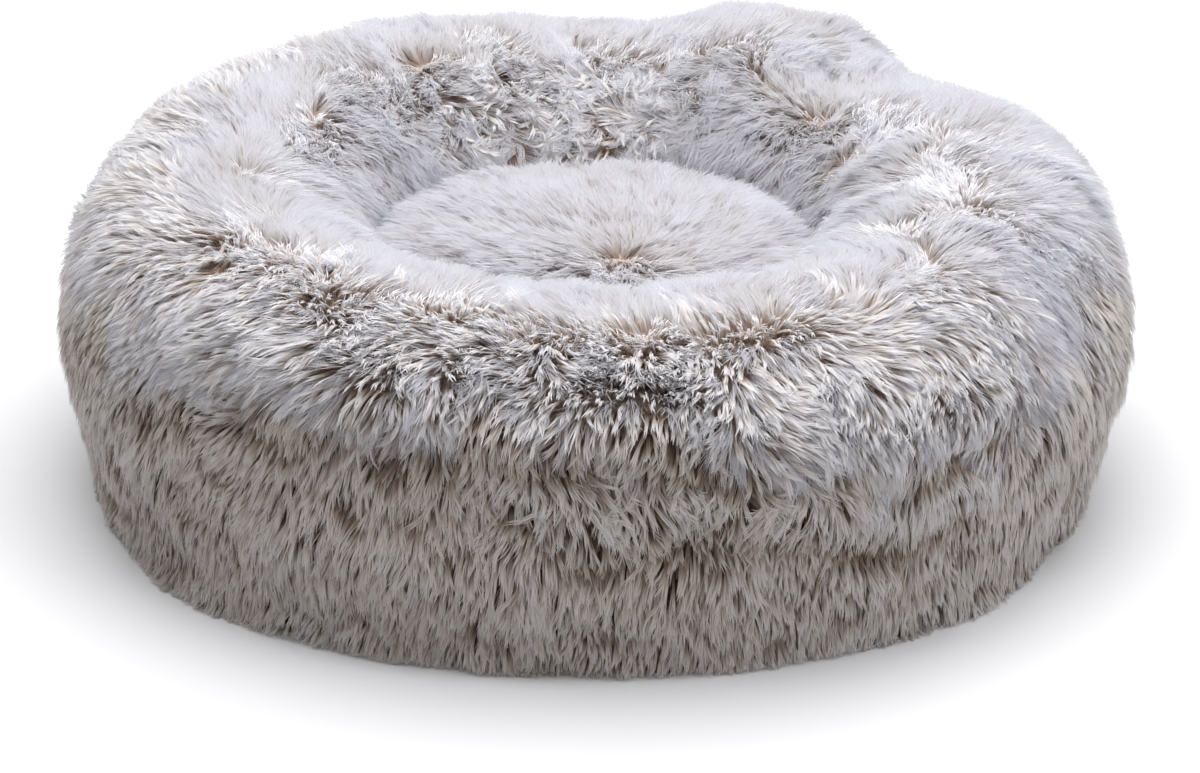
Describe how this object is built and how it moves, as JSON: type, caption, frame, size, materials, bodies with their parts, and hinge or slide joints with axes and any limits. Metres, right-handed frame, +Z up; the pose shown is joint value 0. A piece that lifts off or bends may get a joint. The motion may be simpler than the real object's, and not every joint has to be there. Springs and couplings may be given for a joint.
{
  "type": "donut pet bed",
  "caption": "Round long-pile faux-fur pet bed: stuffed ring round a raised centre cushion, in a cover that zips off at the rear of its base.",
  "frame": {"origin": "middle of the base on the surface that the bed stands on", "axes": "+Z up out of the nest; -Y is the front that the picture shows; the zip runs round the +Y side"},
  "size_m": [0.5828, 0.5783, 0.1957],
  "materials": {
    "long_pile_faux_fur": "long shaggy pile, taupe roots and frosted ivory tips",
    "bag_cloth": "matte non-woven",
    "fibre_filling": "loose hollow fibre",
    "base_cloth": "coated woven cloth with grip dots",
    "binding_tape": "woven tape",
    "zip_tape": "woven tape",
    "nylon_coil": "satin",
    "plated_zinc": "nickel plated, satin"
  },
  "bodies": {
    "bed": {"rim_cover_front": "long_pile_faux_fur", "rim_cover_back": "long_pile_faux_fur", "centre_cover": "long_pile_faux_fur", "rim_bag_left": "bag_cloth", "rim_bag_right": "bag_cloth", "rim_bag_bottom": "bag_cloth", "rim_fill": "fibre_filling", "centre_bag_top": "bag_cloth", "centre_bag_bottom": "bag_cloth", "centre_fill": "fibre_filling", "base_panel": "base_cloth", "base_binding": "binding_tape", "zip_tape_upper": "zip_tape", "zip_tape_lower": "zip_tape", "zip_coil_upper": "nylon_coil", "zip_coil_lower": "nylon_coil", "zip_closed_stop": "plated_zinc", "zip_open_stop": "plated_zinc"},
    "slider": {"zip_slider": "plated_zinc"},
    "tab": {"zip_pull_tab": "plated_zinc"}
  },
  "joints": [
    {"name": "zip_travel", "type": "hinge", "parent": "bed", "child": "slider", "pos_m": [0, 0, 0.0105], "axis": [0, 0, -1], "range_deg": [0, 120]},
    {"name": "tab_swing", "type": "hinge", "parent": "slider", "child": "tab", "pos_m": [-0.23309, 0.13458, 0.0105], "axis": [0, 0, -1], "range_deg": [0, 175]}
  ]
}
